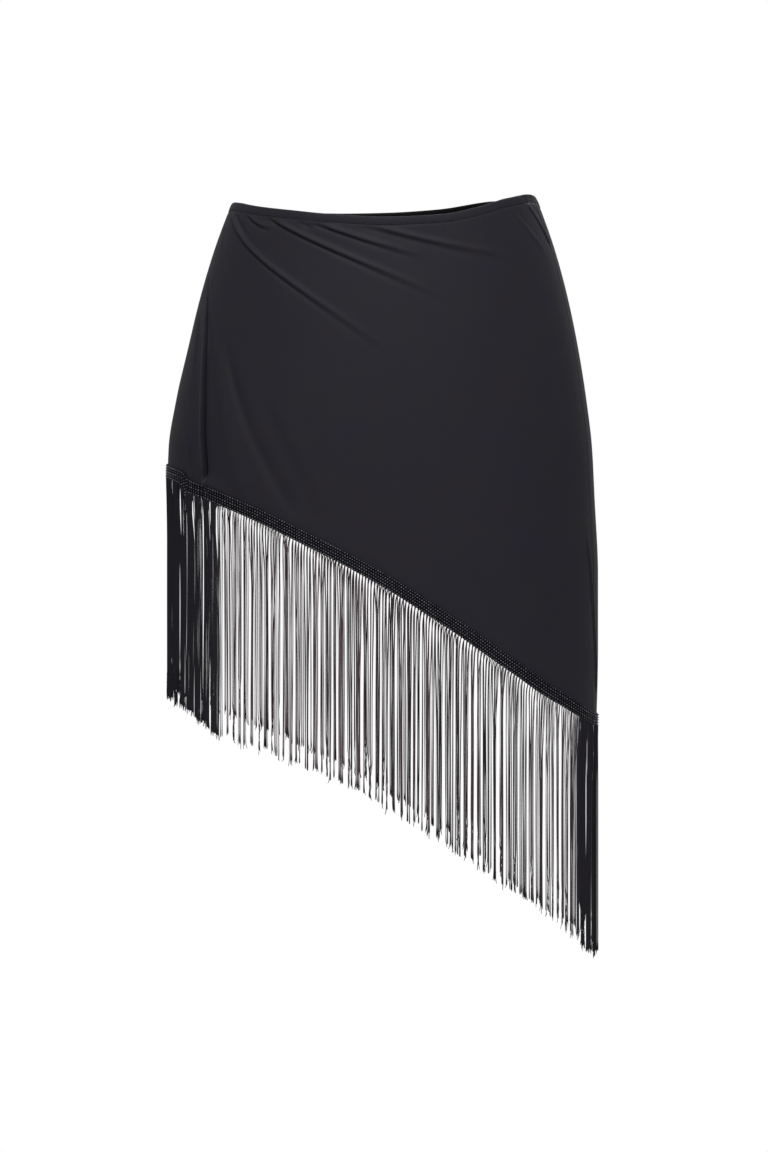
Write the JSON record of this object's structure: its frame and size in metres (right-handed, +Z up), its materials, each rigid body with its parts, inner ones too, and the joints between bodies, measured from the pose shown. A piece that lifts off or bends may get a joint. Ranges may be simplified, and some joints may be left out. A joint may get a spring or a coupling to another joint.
{
  "type": "fringe skirt",
  "caption": "Short hollow jersey skirt, filled out as worn, with an elastic waist and a slanting hem trimmed with long hanging fringe.",
  "frame": {"origin": "middle of the waist opening, level with the mean height of its two corners", "axes": "+Z up out of the waist, front towards -Y, the long side of the hem towards +X"},
  "size_m": [0.3451, 0.246, 0.6014],
  "materials": {
    "jersey": "matte black doubled jersey with a faint sheen at grazing angles",
    "casing": "matte black jersey turned over an elastic",
    "fringe": "black chain-stitched heading and twisted yarn strands"
  },
  "bodies": {
    "root": {"front_panel": "jersey", "back_panel": "jersey", "waist_casing": "casing", "fringe_front": "fringe", "fringe_back": "fringe"}
  },
  "joints": []
}
